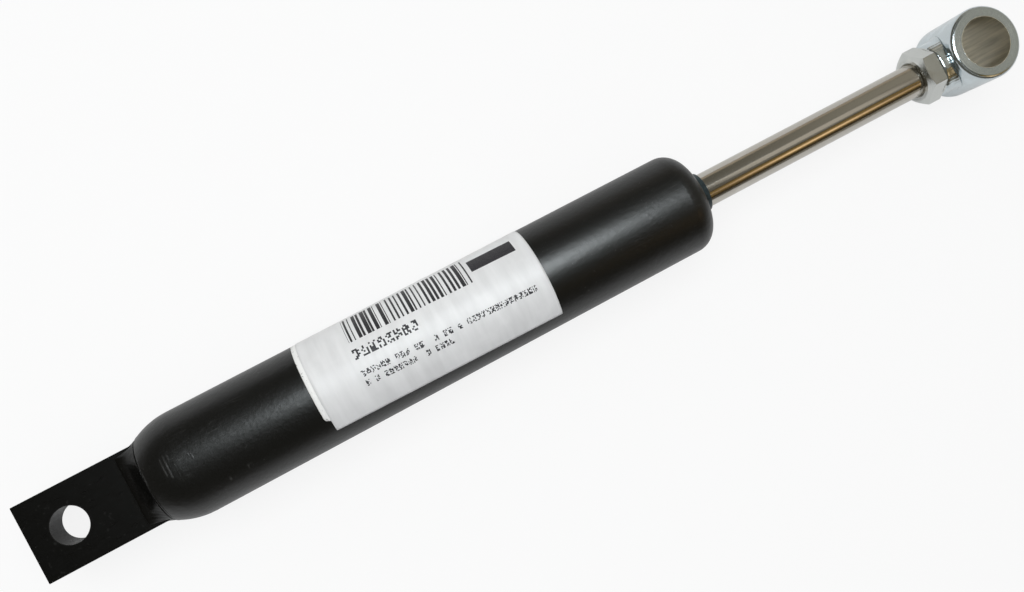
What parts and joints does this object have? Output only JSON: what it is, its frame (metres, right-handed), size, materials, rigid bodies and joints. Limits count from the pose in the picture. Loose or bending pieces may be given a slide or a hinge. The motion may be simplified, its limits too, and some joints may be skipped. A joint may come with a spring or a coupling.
{
  "type": "overrun damper",
  "caption": "Gas-pressure overrun damper with a rolled black tube, a welded flat lug, a chromed piston rod and a plated cross-tube rod eye.",
  "frame": {"origin": "centre of the bore in the flat mounting lug", "axes": "+X along the damper from the lug to the rod eye, +Z along the lug bore, square to the flat lug"},
  "size_m": [0.4914, 0.047, 0.047],
  "materials": {
    "housing_paint": "satin black paint",
    "steel": "turned and oiled",
    "spring_steel": "ground",
    "sintered_iron": "sintered and sized",
    "bronze": "rolled, with a sliding layer",
    "seal_rubber": "matt",
    "wiper_rubber": "dark teal, oily",
    "guide_plastic": "filled sliding plastic",
    "aluminium": "turned",
    "chrome_rod": "hard chromed and polished",
    "zinc": "bright bluish zinc plating",
    "label_paper": "satin sticker"
  },
  "bodies": {
    "housing": {"cylinder_tube": "housing_paint", "base_cap": "steel", "base_o_ring": "seal_rubber", "mounting_lug": "housing_paint", "lug_weld_bead": "housing_paint", "rod_guide": "sintered_iron", "guide_bush": "bronze", "guide_o_ring": "seal_rubber", "guide_stop_ring": "steel", "rod_seal": "seal_rubber", "seal_cover": "housing_paint", "wiper_seal": "wiper_rubber"},
    "separator": {"floating_piston": "aluminium", "floating_o_ring": "seal_rubber", "floating_band": "guide_plastic"},
    "piston_ring": {"piston_band": "guide_plastic"},
    "rod": {"piston_rod": "chrome_rod", "rebound_stop_collar": "steel", "rebound_bumper": "seal_rubber", "piston_body": "sintered_iron", "compression_disc_1": "spring_steel", "compression_disc_2": "spring_steel", "compression_disc_3": "spring_steel", "compression_support_washer": "steel", "rebound_disc_1": "spring_steel", "rebound_disc_2": "spring_steel", "rebound_disc_3": "spring_steel", "rebound_support_washer": "steel", "piston_nut": "steel", "eye_socket": "zinc", "eye_weld_bead": "zinc", "eye_barrel": "zinc"}
  },
  "joints": [
    {"name": "rod_slide", "type": "slide", "parent": "housing", "child": "piston_ring", "axis": [1, 0, 0], "range_m": [-0.11, 0], "stiffness_N_per_m": 1100, "springref_m": 0.134},
    {"name": "rod_turn", "type": "hinge", "parent": "piston_ring", "child": "rod", "pos_m": [0.3, 0, 0], "axis": [1, 0, 0], "continuous": true},
    {"name": "separator_slide", "type": "slide", "parent": "housing", "child": "separator", "axis": [1, 0, 0], "range_m": [-0.0177, 0]}
  ],
  "couplings": [
    {"joint": "separator_slide", "follows": "rod_slide", "ratio": 0.16}
  ]
}
